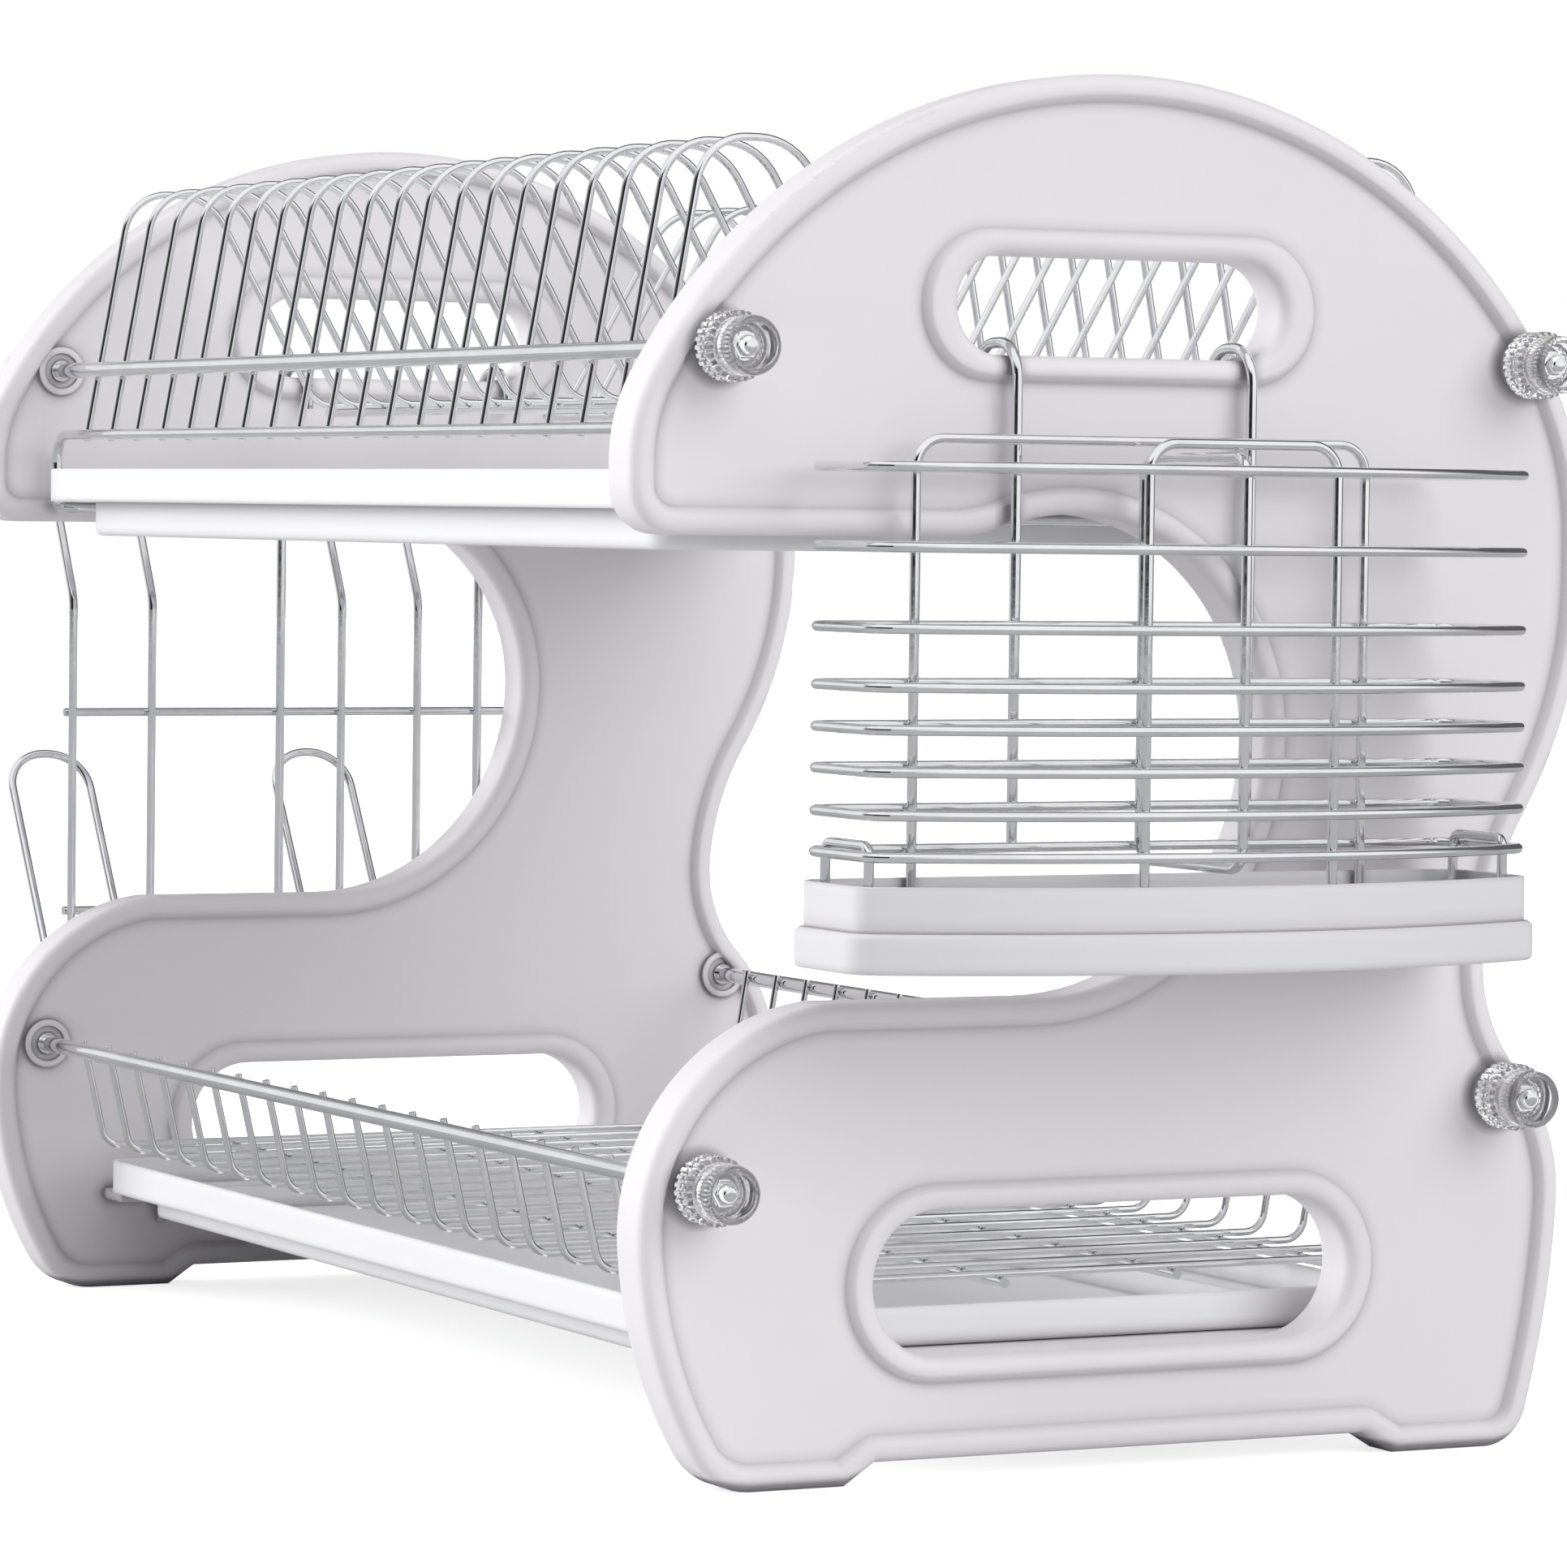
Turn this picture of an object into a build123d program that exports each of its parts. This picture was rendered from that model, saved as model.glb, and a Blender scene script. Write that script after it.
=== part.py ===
# Two-tier dish rack: two moulded end panels joined by four tie rods, an upper rack of
# wire loops for plates, a lower wire rack for bowls and pans, a drip tray under each,
# a utensil holder that hangs on one end and a cup rack that hangs on the other.
# X runs from the cup rack to the utensil holder, Y from front to rear, and Z up from the
# surface that the feet stand on. The origin lies under the middle of the rack.

from build123d import *
from math import atan, cos, radians, sin, tan
import os

os.makedirs("parts", exist_ok=True)

# End panels
rack_width = 511.7
panel_depth = 299.0
panel_height = 380.8
panel_thickness = 17.5
panel_edge_round = 3.2
rim_width = 5.6
face_recess = 2.4
recess_slope_angle = 38.0
crown_offset_share = -0.0134

# Hand slots through the panels, with a raised surround on each face
upper_slot_width = 101.0
upper_slot_height = 27.0
upper_slot_level_share = 0.8338
upper_surround_end = 9.0
lower_slot_width = 148.5
lower_slot_height = 39.8
lower_slot_level_share = 0.1408
lower_surround_end = 6.6
surround_side = 5.3
slot_edge_round = 3.6

# Tie rods, their threaded ends and the bosses that they pass through
rod_radius = 2.5
rod_end_chamfer = 0.6
rod_end_gap = 1.0
boss_radius = 7.9
boss_step_radius = 5.9
boss_step_depth = 0.7
boss_below_rim = 0.9
sleeve_wall = 0.9
sleeve_gap = 0.05

# Clear knobs that clamp the panels on the rods
knob_radius = 8.9
knob_length = 18.5
knob_band_length = 9.6
knob_band_groove = 1.1
knob_neck_radius = 8.0
knob_tooth_count = 26
knob_tooth_radius = 0.5
knob_mouth_radius = 6.4
knob_mouth_depth = 6.5
knob_edge_round = 0.8
knob_step = 1.2
knob_groove_depth = 0.4
nut_radius = 3.9
nut_stand_out = 4.4
nut_bore_end = 2.4

# Wires
loop_wire = 1.1
rail_wire = 1.7
support_wire = 1.4
basket_wire = 1.4
hook_wire = 1.5

# Clearances and joins
rest_gap = 0.3
turn_gap = 0.05
weld_sink = 0.15
overrun = 5.0

# Upper rack loops
loop_count = 20
loop_pitch = 22.5
loop_top_rise = 57.9
loop_floor_drop = 10.2
loop_foot_drop = 23.3
loop_outer_lean = 10.5
loop_inner_lean = 29.7
loop_top_width = 27.2
loop_outer_bend = 15.0
loop_inner_bend = 19.0
loop_floor_bend = 10.0
rail_drop = 21.2
rail_end_bend = 9.0
hanger_reach = 235.0
support_inset = 5.6
support_overhang = 2.4

# Drip trays
tray_half_width = 228.0
tray_flange = 14.0
tray_front_flange = 11.0
tray_wall = 2.0
tray_rim_height = 10.7
tray_body_depth = 11.0
tray_corner = 8.0
tray_body_corner = 6.0
upper_tray_front = 10.2
upper_tray_depth = 261.0
lower_tray_setback = 16.6
lower_tray_depth = 215.4
lower_tray_body_depth = 7.8
tray_foot_round = 2.5
tray_edge_round = 0.7
tray_runner_inset = 5.0
runner_below_rail = 23.8

# Tray ledges inside the end panels
ledge_width = 15.0
ledge_thickness = 3.2
ledge_top = 33.1
ledge_rib_width = 2.4
ledge_rib_drop = 9.0
ledge_rib_count = 5
ledge_rib_margin = 20.0
ledge_stop_height = 6.0
ledge_front_setback = 4.0

# Lower rack
lower_floor = 50.2
lower_front_lean = 13.0
lower_front_bend = 6.5
lower_rear_lean = 9.5
lower_rear_bend = 6.5
lower_tip_rise = 0.4
long_wire_count = 4
long_wire_front_margin = 46.8
long_wire_rear_margin = 14.0
long_wire_overhang = 2.6

# Utensil holder
holder_hook_spacing = 73.2
holder_hook_gap = 1.3
holder_length = 201.0
holder_depth = 38.0
holder_bow = 19.8
holder_corner = 7.0
ring_stub_share = 1.6
ring_level_shares = (0, 0.1071, 0.2181, 0.3261, 0.4352, 0.5855, 0.7937, 1)
ring_bottom = 171.6
ring_stack = 101.8
back_arch_width = 140.0
back_arch_rise = 7.9
front_arch_width = 57.6
front_arch_rise = 6.9
arch_bend = 8.0
divider_rise = 3.6
divider_bend = 6.0
hook_drop = 14.0
hook_bend = 10.0
hook_seat = 2.0
leg_depth = 22.5
floor_wire_inset = 6.8
floor_loop_width = 25.0
floor_loop_bend = 3.0
floor_bar_count = 9
floor_bar_margin = 12.0
floor_bar_overhang = 2.0

# Utensil drip tray
cup_margin = 0.8
cup_end_reach = 2.0
cup_height = 23.0
cup_wall = 1.6
cup_flare = 2.4
cup_flare_height = 10.8
cup_below_ring = 7.6
cup_edge_round = 0.5

# Cup rack
mug_loop_count = 3
mug_loop_pitch = 97.2
mug_loop_half_width = 14.1
mug_top_level = 266.0
mug_lean_level = 229.0
mug_top_lean = 28.0
mug_tip_level = 174.6
mug_tip_lean = 32.0
mug_tip_reach = 64.46
mug_hook_bend = 9.0
mug_upper_bar = 191.0
mug_lower_bar = 124.5
mug_bar_overhang = 2.0
mug_lean_bend = 14.0
mug_round_share = 0.96
mug_stem_below_bar = 2.5

# Places that follow from the sizes
outer_face = rack_width / 2
inner_face = outer_face - panel_thickness
half_depth = panel_depth / 2
crown_y = crown_offset_share * half_depth
upper_slot_z = upper_slot_level_share * panel_height
lower_slot_z = lower_slot_level_share * panel_height
bore_radius = rod_radius + sleeve_gap + sleeve_wall
knob_seat = outer_face + rest_gap

# Rod places as shares of the half depth and the height of a panel
rod_shares = {
    "upper_front": (-0.8247, 0.7996),
    "upper_rear": (0.8562, 0.7996),
    "lower_front": (-0.8462, 0.2153),
    "lower_rear": (0.8207, 0.2618),
}
rods = {
    name: (y_share * half_depth, z_share * panel_height)
    for name, (y_share, z_share) in rod_shares.items()
}
upper_front_y, upper_rod_z = rods["upper_front"]
upper_rear_y = rods["upper_rear"][0]
upper_middle_y = (upper_front_y + upper_rear_y) / 2
loop_top = upper_rod_z + loop_top_rise
loop_floor = upper_rod_z - loop_floor_drop
lower_front_y, lower_front_z = rods["lower_front"]
lower_rear_y, lower_rear_z = rods["lower_rear"]

# Lower tray place, which the ledges in the panels follow
lower_tray_front = lower_front_y + lower_tray_setback
lower_tray_rear = lower_tray_front + lower_tray_depth

# Panel outline, point by point from the front of the crown over the top to the rear,
# down to the rear foot, forward to the front foot and up round the open bay
outline_shares = {
    "crown_front": (-0.960, 0.782),
    "crown_top": (crown_offset_share, 1.0),
    "crown_rear": (0.906, 0.800),
    "bulge_top": (1.0, 0.671),
    "bulge_foot": (1.0, 0.6486),
    "rear_turn": (0.873, 0.470),
    "waist": (0.789, 0.3676),
    "rear_flare": (0.866, 0.281),
    "heel_top": (0.960, 0.1786),
    "heel": (0.896, 0.0263),
    "rear_foot_back": (0.813, 0.0),
    "rear_foot_front": (0.605, 0.0),
    "arch_rear": (0.5385, 0.0158),
    "arch_front": (-0.4916, 0.0158),
    "front_foot_back": (-0.5518, 0.0),
    "front_foot_front": (-0.739, 0.0),
    "toe": (-0.855, 0.0263),
    "lobe_front": (-0.9666, 0.1707),
    "lobe_shoulder": (-0.873, 0.2836),
    "lobe_top": (-0.6054, 0.3414),
    "bay_floor": (-0.1773, 0.3414),
    "bay_rear": (0.2977, 0.5147),
    "bay_top": (-0.1505, 0.6854),
    "bay_turn": (-0.2575, 0.6762),
    "brow_rear": (-0.3645, 0.6691),
    "brow_front": (-0.913, 0.6691),
    "nose_low": (-1.0, 0.7038),
    "nose_high": (-1.0, 0.7211),
}


def outline_point(name):
    y_share, z_share = outline_shares[name]
    return (y_share * half_depth, z_share * panel_height)


def draw_outline():
    """The closed outline of an end panel, drawn in the open line block."""
    low, high = outline_point("nose_high"), outline_point("crown_front")
    edge = TangentArc(low, high, tangent=(0, 1))
    edge = ThreePointArc(high, outline_point("crown_top"), outline_point("crown_rear"))
    edge = TangentArc(edge @ 1, outline_point("bulge_top"), tangent=edge % 1)
    edge = Line(edge @ 1, outline_point("bulge_foot"))
    for name in ("rear_turn", "waist", "rear_flare", "heel_top", "heel", "rear_foot_back"):
        edge = TangentArc(edge @ 1, outline_point(name), tangent=edge % 1)
    edge = Polyline(
        edge @ 1,
        outline_point("rear_foot_front"),
        outline_point("arch_rear"),
        outline_point("arch_front"),
        outline_point("front_foot_back"),
        outline_point("front_foot_front"),
    )
    edge = TangentArc(edge @ 1, outline_point("toe"), tangent=(-1, 0))
    for name in ("lobe_front", "lobe_shoulder", "lobe_top"):
        edge = TangentArc(edge @ 1, outline_point(name), tangent=edge % 1)
    edge = Line(edge @ 1, outline_point("bay_floor"))
    for name in ("bay_rear", "bay_top", "bay_turn", "brow_rear"):
        edge = TangentArc(edge @ 1, outline_point(name), tangent=edge % 1)
    edge = Line(edge @ 1, outline_point("brow_front"))
    edge = TangentArc(edge @ 1, outline_point("nose_low"), tangent=(-1, 0))
    Line(edge @ 1, low)


def round_wire(points, radius, bends, closed=False):
    """A round wire along straight runs joined by bends."""
    with BuildPart() as wire:
        with BuildLine() as path:
            FilletPolyline(*points, radius=bends, close=closed)
        with BuildSketch(Plane(origin=path.line @ 0, z_dir=path.line % 0)):
            Circle(radius)
        sweep()
    return wire.part


def straight_wire(start, end, radius):
    """A round wire from one point to another."""
    with BuildPart() as wire:
        with BuildSketch(Plane(origin=start, z_dir=Vector(end) - Vector(start))):
            Circle(radius)
        extrude(amount=(Vector(end) - Vector(start)).length)
    return wire.part


def at_places(part, places):
    """Copies of a part, one at each place."""
    with BuildPart() as group:
        with Locations(*places):
            add(part)
    return group.part


def save(part, name):
    part.label = name
    export_step(part, f"parts/{name}.step")


def end_panel():
    """The panel at the +X end: rims and slot surrounds stand up from a recessed face."""
    upper_slot = (crown_y, upper_slot_z)
    lower_slot = (0, lower_slot_z)
    with BuildSketch() as field:
        with BuildLine():
            draw_outline()
        make_face()
        offset(amount=-rim_width, kind=Kind.ARC)
        with Locations(upper_slot):
            SlotOverall(
                upper_slot_width + 2 * upper_surround_end,
                upper_slot_height + 2 * surround_side,
                mode=Mode.SUBTRACT,
            )
        with Locations(lower_slot):
            SlotOverall(
                lower_slot_width + 2 * lower_surround_end,
                lower_slot_height + 2 * surround_side,
                mode=Mode.SUBTRACT,
            )
    with BuildPart() as rib:
        with BuildSketch(Plane.XZ):
            with BuildLine():
                Polyline(
                    (inner_face - ledge_width / 2, ledge_top - ledge_thickness),
                    (inner_face + face_recess, ledge_top - ledge_thickness),
                    (inner_face + face_recess, ledge_top - ledge_thickness - ledge_rib_drop),
                    close=True,
                )
            make_face()
        extrude(amount=ledge_rib_width / 2, both=True)
    ledge_front = lower_tray_front + ledge_front_setback
    ledge_rear = lower_tray_rear + rest_gap + ledge_thickness
    first_rib = ledge_front + ledge_rib_margin
    rib_pitch = (ledge_rear - ledge_front - 2 * ledge_rib_margin) / (ledge_rib_count - 1)
    with BuildPart() as panel:
        with BuildSketch(Plane.YZ.offset(inner_face)):
            with BuildLine():
                draw_outline()
            make_face()
        extrude(amount=panel_thickness)
        fillet(panel.edges().filter_by(Axis.X, reverse=True), radius=panel_edge_round)
        for face_plane, inward in (
            (Plane.YZ.offset(outer_face), -face_recess),
            (Plane.YZ.offset(inner_face), face_recess),
        ):
            with BuildSketch(face_plane):
                add(field.sketch)
            extrude(amount=inward, taper=recess_slope_angle, mode=Mode.SUBTRACT)
        for face_plane, outward in (
            (Plane.YZ.offset(outer_face - face_recess), face_recess),
            (Plane.YZ.offset(inner_face + face_recess), boss_below_rim - face_recess),
        ):
            with BuildSketch(face_plane):
                with Locations(*rods.values()):
                    Circle(boss_radius)
            extrude(amount=outward)
        with BuildSketch(Plane.YZ.offset(inner_face + boss_below_rim)):
            with Locations(*rods.values()):
                Circle(boss_step_radius)
        extrude(amount=boss_step_depth, mode=Mode.SUBTRACT)
        with BuildSketch(Plane.YZ.offset(inner_face)):
            with Locations(*rods.values()):
                Circle(bore_radius)
            with Locations(upper_slot):
                SlotOverall(upper_slot_width, upper_slot_height)
            with Locations(lower_slot):
                SlotOverall(lower_slot_width, lower_slot_height)
        extrude(amount=panel_thickness, mode=Mode.SUBTRACT)
        for centre, width, height in (
            (upper_slot, upper_slot_width, upper_slot_height),
            (lower_slot, lower_slot_width, lower_slot_height),
        ):
            for face_x in (inner_face, outer_face):
                fillet(slot_mouth(panel, face_x, centre, width, height), slot_edge_round)
        with BuildSketch(Plane.YZ.offset(inner_face - ledge_width)):
            with BuildLine():
                Polyline(
                    (ledge_front, ledge_top - ledge_thickness),
                    (ledge_front, ledge_top),
                    (ledge_rear - ledge_thickness, ledge_top),
                    (ledge_rear - ledge_thickness, ledge_top + ledge_stop_height),
                    (ledge_rear, ledge_top + ledge_stop_height),
                    (ledge_rear, ledge_top - ledge_thickness),
                    close=True,
                )
            make_face()
        extrude(amount=ledge_width + face_recess)
        with Locations(*[(0, first_rib + n * rib_pitch, 0) for n in range(ledge_rib_count)]):
            add(rib.part)
    return panel.part


def slot_mouth(panel, face_x, centre, width, height):
    """The edges round the mouth of a slot on one face of the panel."""
    y, z = centre
    return (
        panel.edges()
        .filter_by_position(Axis.X, face_x - weld_sink, face_x + weld_sink)
        .filter_by_position(Axis.Y, y - width / 2 - weld_sink, y + width / 2 + weld_sink)
        .filter_by_position(Axis.Z, z - height / 2 - weld_sink, z + height / 2 + weld_sink)
    )


right_panel = end_panel()
save(right_panel, "right_end_panel")
with BuildPart() as left_panel:
    mirror(right_panel, about=Plane.YZ)
save(left_panel.part, "left_end_panel")


# Tie rods with the sleeves that line their holes
nut_start = knob_seat
nut_length = knob_length - knob_mouth_depth + nut_stand_out
rod_end = nut_start + nut_length - nut_bore_end - rod_end_gap


def tie_rod(place):
    """One rod, from the blind end of one nut to the blind end of the other."""
    y, z = place
    with BuildPart() as rod:
        with BuildSketch(Plane.YZ.offset(-rod_end)):
            with Locations((y, z)):
                Circle(rod_radius)
        extrude(amount=2 * rod_end)
        chamfer(rod.edges().filter_by(GeomType.CIRCLE), length=rod_end_chamfer)
    return rod.part


for rod_name, rod_place in rods.items():
    save(tie_rod(rod_place), f"{rod_name}_tie_rod")

with BuildPart() as rod_sleeves:
    for sleeve_start in (inner_face + boss_below_rim, -outer_face):
        with BuildSketch(Plane.YZ.offset(sleeve_start)):
            with Locations(*rods.values()):
                Circle(bore_radius)
                Circle(rod_radius + sleeve_gap, mode=Mode.SUBTRACT)
        extrude(amount=panel_thickness - boss_below_rim)
save(rod_sleeves.part, "rod_sleeves")


# Clear knobs, each with a domed nut pressed into it
def knob_body():
    """A knob with its seat in the YZ plane and its open mouth towards +X."""
    band_end = knob_band_length
    mouth_start = knob_length - knob_mouth_depth
    with BuildPart() as knob:
        with BuildSketch(Plane.XY):
            with BuildLine():
                Polyline(
                    (0, nut_radius),
                    (0, knob_radius - knob_step / 2),
                    (knob_step / 2, knob_radius),
                    (band_end, knob_radius),
                    (band_end + knob_step, knob_neck_radius),
                    (knob_length - knob_edge_round, knob_neck_radius),
                    (knob_length, knob_neck_radius - knob_edge_round),
                    (knob_length, knob_mouth_radius),
                    (mouth_start, knob_mouth_radius - knob_edge_round),
                    (mouth_start, nut_radius),
                    close=True,
                )
            make_face()
        revolve(axis=Axis.X)
        with BuildSketch(Plane.YZ.offset(knob_step)):
            with PolarLocations(knob_radius, knob_tooth_count):
                Circle(knob_tooth_radius)
        extrude(amount=band_end - knob_step)
        with BuildSketch(Plane.YZ.offset((band_end - knob_band_groove) / 2)):
            Circle(knob_radius + knob_tooth_radius + overrun)
            Circle(knob_radius - knob_groove_depth, mode=Mode.SUBTRACT)
        extrude(amount=knob_band_groove, mode=Mode.SUBTRACT)
    return knob.part


def knob_nut():
    """The chrome nut inside a knob: a blind bore behind a domed end."""
    wall_end = nut_length - nut_radius
    bore = rod_radius + turn_gap
    with BuildPart() as nut:
        with BuildSketch(Plane.XY):
            with BuildLine():
                Polyline(
                    (nut_length, 0),
                    (nut_length - nut_bore_end, 0),
                    (nut_length - nut_bore_end, bore),
                    (0, bore),
                    (0, nut_radius),
                    (wall_end, nut_radius),
                )
                TangentArc((wall_end, nut_radius), (nut_length, 0), tangent=(1, 0))
            make_face()
        revolve(axis=Axis.X)
    return nut.part


knob_shapes = (("knob", knob_body()), ("nut", knob_nut()))
for rod_name, (rod_y, rod_z) in rods.items():
    for shape_name, shape in knob_shapes:
        right_shape = at_places(shape, [(knob_seat, rod_y, rod_z)])
        with BuildPart() as left_shape:
            mirror(right_shape, about=Plane.YZ)
        save(right_shape, f"right_{rod_name}_{shape_name}")
        save(left_shape.part, f"left_{rod_name}_{shape_name}")


# Upper rack: wire loops that pass inside both upper rods and are welded to them
loop_places = [
    ((n - (loop_count - 1) / 2) * loop_pitch, 0, 0)
    for n in range(loop_count)
]
outer_slope = tan(radians(loop_outer_lean))
inner_slope = tan(radians(loop_inner_lean))
leg_y = upper_front_y + (rod_radius + loop_wire - weld_sink) / cos(radians(loop_outer_lean))
loop_foot = (0, leg_y - outer_slope * loop_foot_drop, upper_rod_z - loop_foot_drop)
loop_shoulder = (0, leg_y + outer_slope * (loop_top - upper_rod_z), loop_top)
loop_crest = (0, loop_shoulder[1] + loop_top_width, loop_top)
loop_knee = (0, loop_crest[1] + inner_slope * (loop_top - loop_floor), loop_floor)
loop_floor_start = (0, loop_knee[1] + loop_floor_bend, loop_floor)
loop_floor_end = (0, 2 * upper_middle_y - loop_floor_start[1], loop_floor)

front_arch = round_wire(
    [loop_foot, loop_shoulder, loop_crest, loop_knee, loop_floor_start],
    loop_wire,
    [loop_outer_bend, loop_inner_bend, loop_floor_bend],
)
with BuildPart() as rear_arch:
    mirror(front_arch, about=Plane.XZ.offset(-upper_middle_y))
save(at_places(front_arch, loop_places), "upper_rack_front_arches")
save(at_places(rear_arch.part, loop_places), "upper_rack_rear_arches")
floor_run = straight_wire(loop_floor_start, loop_floor_end, loop_wire)
save(at_places(floor_run, loop_places), "upper_rack_floor_wires")

# Rails along the feet of the loops, bent down at both ends to carry the tray runners
rail_z = upper_rod_z - rail_drop
rail_front_y = (
    leg_y
    - outer_slope * rail_drop
    - (rail_wire + loop_wire - weld_sink) / cos(radians(loop_outer_lean))
)
rail_rear_y = 2 * upper_middle_y - rail_front_y
runner_z = rail_z - runner_below_rail
runner_x = tray_half_width - tray_runner_inset
rail_end_x = hanger_reach - 2 * rail_end_bend
jog_end_x = (hanger_reach + runner_x) / 2
jog_bend = (hanger_reach - runner_x) / 4


def rail(y):
    return straight_wire((-rail_end_x, y, rail_z), (rail_end_x, y, rail_z), rail_wire)


def hanger(y):
    """The bent end of a rail, down past the tray's side and in under its flange."""
    return round_wire(
        [
            (rail_end_x, y, rail_z),
            (hanger_reach, y, rail_z),
            (hanger_reach, y, runner_z),
            (jog_end_x, y, runner_z),
        ],
        rail_wire,
        [rail_end_bend, jog_bend],
    )


tray_runner = round_wire(
    [
        (jog_end_x, rail_front_y, runner_z),
        (runner_x, rail_front_y, runner_z),
        (runner_x, rail_rear_y, runner_z),
        (jog_end_x, rail_rear_y, runner_z),
    ],
    rail_wire,
    jog_bend,
)
save(rail(rail_front_y), "upper_rack_front_rail")
save(rail(rail_rear_y), "upper_rack_rear_rail")
with BuildPart() as hangers:
    add(hanger(rail_front_y))
    add(hanger(rail_rear_y))
    mirror(about=Plane.YZ)
save(hangers.part, "upper_tray_hangers")
with BuildPart() as runners:
    add(tray_runner)
    mirror(about=Plane.YZ)
save(runners.part, "upper_tray_runners")

# Two rails across the loops under their floor runs
support_z = loop_floor - loop_wire - support_wire + weld_sink
support_x = loop_places[-1][0] + support_overhang
with BuildPart() as supports:
    for support_y in (
        loop_knee[1] + support_inset,
        2 * upper_middle_y - loop_knee[1] - support_inset,
    ):
        add(
            straight_wire(
                (-support_x, support_y, support_z),
                (support_x, support_y, support_z),
                support_wire,
            )
        )
save(supports.part, "upper_rack_support_rails")


# Drip trays
def drip_tray(front_y, depth, flange_z, front_flange, body_depth):
    """A shallow pan under a wide flange with an upright rim."""
    middle_y = front_y + depth / 2
    body_width = 2 * (tray_half_width - tray_flange)
    body_length = depth - 2 * front_flange
    with BuildPart() as tray:
        with BuildSketch(Plane.XY.offset(flange_z)):
            with Locations((0, middle_y)):
                RectangleRounded(2 * tray_half_width, depth, tray_corner)
        extrude(amount=tray_rim_height)
        with BuildSketch(Plane.XY.offset(flange_z)):
            with Locations((0, middle_y)):
                RectangleRounded(body_width, body_length, tray_body_corner)
        extrude(amount=-body_depth)
        fillet(tray.faces().sort_by(Axis.Z)[0].edges(), radius=tray_foot_round)
        with BuildSketch(Plane.XY.offset(flange_z + tray_wall)):
            with Locations((0, middle_y)):
                RectangleRounded(
                    2 * (tray_half_width - tray_wall),
                    depth - 2 * tray_wall,
                    tray_corner - tray_wall,
                )
        extrude(amount=tray_rim_height, mode=Mode.SUBTRACT)
        with BuildSketch(Plane.XY.offset(flange_z - body_depth + tray_wall)):
            with Locations((0, middle_y)):
                RectangleRounded(
                    body_width - 2 * tray_wall,
                    body_length - 2 * tray_wall,
                    tray_body_corner - tray_wall,
                )
        extrude(amount=body_depth, mode=Mode.SUBTRACT)
        fillet(tray.faces().sort_by(Axis.Z)[-1].edges(), radius=tray_edge_round)
    return tray.part


upper_tray_front_y = upper_front_y - upper_tray_front
upper_flange_z = runner_z + rail_wire + rest_gap
upper_tray = drip_tray(
    upper_tray_front_y, upper_tray_depth, upper_flange_z, tray_front_flange, tray_body_depth
)
save(upper_tray, "upper_drip_tray")
lower_tray = drip_tray(
    lower_tray_front,
    lower_tray_depth,
    ledge_top + rest_gap,
    tray_front_flange,
    lower_tray_body_depth,
)
save(lower_tray, "lower_drip_tray")


# Lower rack: wires welded to both lower rods on their inner sides
front_slope = tan(radians(lower_front_lean))
rear_slope = tan(radians(lower_rear_lean))
weld_reach = rod_radius + loop_wire - weld_sink
front_upright_y = lower_front_y + weld_reach / cos(radians(lower_front_lean))
rear_upright_y = lower_rear_y - weld_reach / cos(radians(lower_rear_lean))
front_floor_y = front_upright_y + front_slope * (lower_front_z - lower_floor)
rear_floor_y = rear_upright_y - rear_slope * (lower_rear_z - lower_floor)


def lower_upright(upright_y, rod_z, floor_y, bend, outward_slope):
    """A wire end: from just above the rod, down past its inner side and round to the floor."""
    tip_rise = rod_radius + lower_tip_rise
    inward = 1 if outward_slope < 0 else -1
    return round_wire(
        [
            (0, upright_y + outward_slope * tip_rise, rod_z + tip_rise),
            (0, floor_y, lower_floor),
            (0, floor_y + inward * bend, lower_floor),
        ],
        loop_wire,
        bend,
    )


front_upright = lower_upright(
    front_upright_y, lower_front_z, front_floor_y, lower_front_bend, -front_slope
)
rear_upright = lower_upright(
    rear_upright_y, lower_rear_z, rear_floor_y, lower_rear_bend, rear_slope
)
lower_run = straight_wire(
    (0, front_floor_y + lower_front_bend, lower_floor),
    (0, rear_floor_y - lower_rear_bend, lower_floor),
    loop_wire,
)
save(at_places(front_upright, loop_places), "lower_rack_front_uprights")
save(at_places(rear_upright, loop_places), "lower_rack_rear_uprights")
save(at_places(lower_run, loop_places), "lower_rack_floor_wires")

long_wire_z = lower_floor - loop_wire - support_wire + weld_sink
long_wire_x = loop_places[-1][0] + long_wire_overhang
long_wire_first_y = front_floor_y + long_wire_front_margin
long_wire_last_y = rear_floor_y - long_wire_rear_margin
long_wire_pitch = (long_wire_last_y - long_wire_first_y) / (long_wire_count - 1)
long_wire = straight_wire(
    (-long_wire_x, long_wire_first_y, long_wire_z),
    (long_wire_x, long_wire_first_y, long_wire_z),
    support_wire,
)
long_wire_places = [(0, n * long_wire_pitch, 0) for n in range(long_wire_count)]
save(at_places(long_wire, long_wire_places), "lower_rack_long_wires")


# Hooks that hang a holder or a rack in the upper slot of an end panel
slot_floor_z = upper_slot_z - upper_slot_height / 2
hook_x = outer_face + holder_hook_gap + hook_wire
hook_inner_x = inner_face - holder_hook_gap - hook_wire
hook_top_z = slot_floor_z + hook_seat + hook_wire
hook_weld_x = hook_x + hook_wire + basket_wire - weld_sink


def hang_hooks(stem_foot_z):
    """Two wires that rise outside the panel, cross the slot and end inside it."""
    hook = round_wire(
        [
            (hook_x, 0, stem_foot_z),
            (hook_x, 0, hook_top_z),
            (hook_inner_x, 0, hook_top_z),
            (hook_inner_x, 0, hook_top_z - hook_drop),
        ],
        hook_wire,
        hook_bend,
    )
    half = holder_hook_spacing / 2
    return at_places(hook, [(0, -half, 0), (0, half, 0)])


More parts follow.
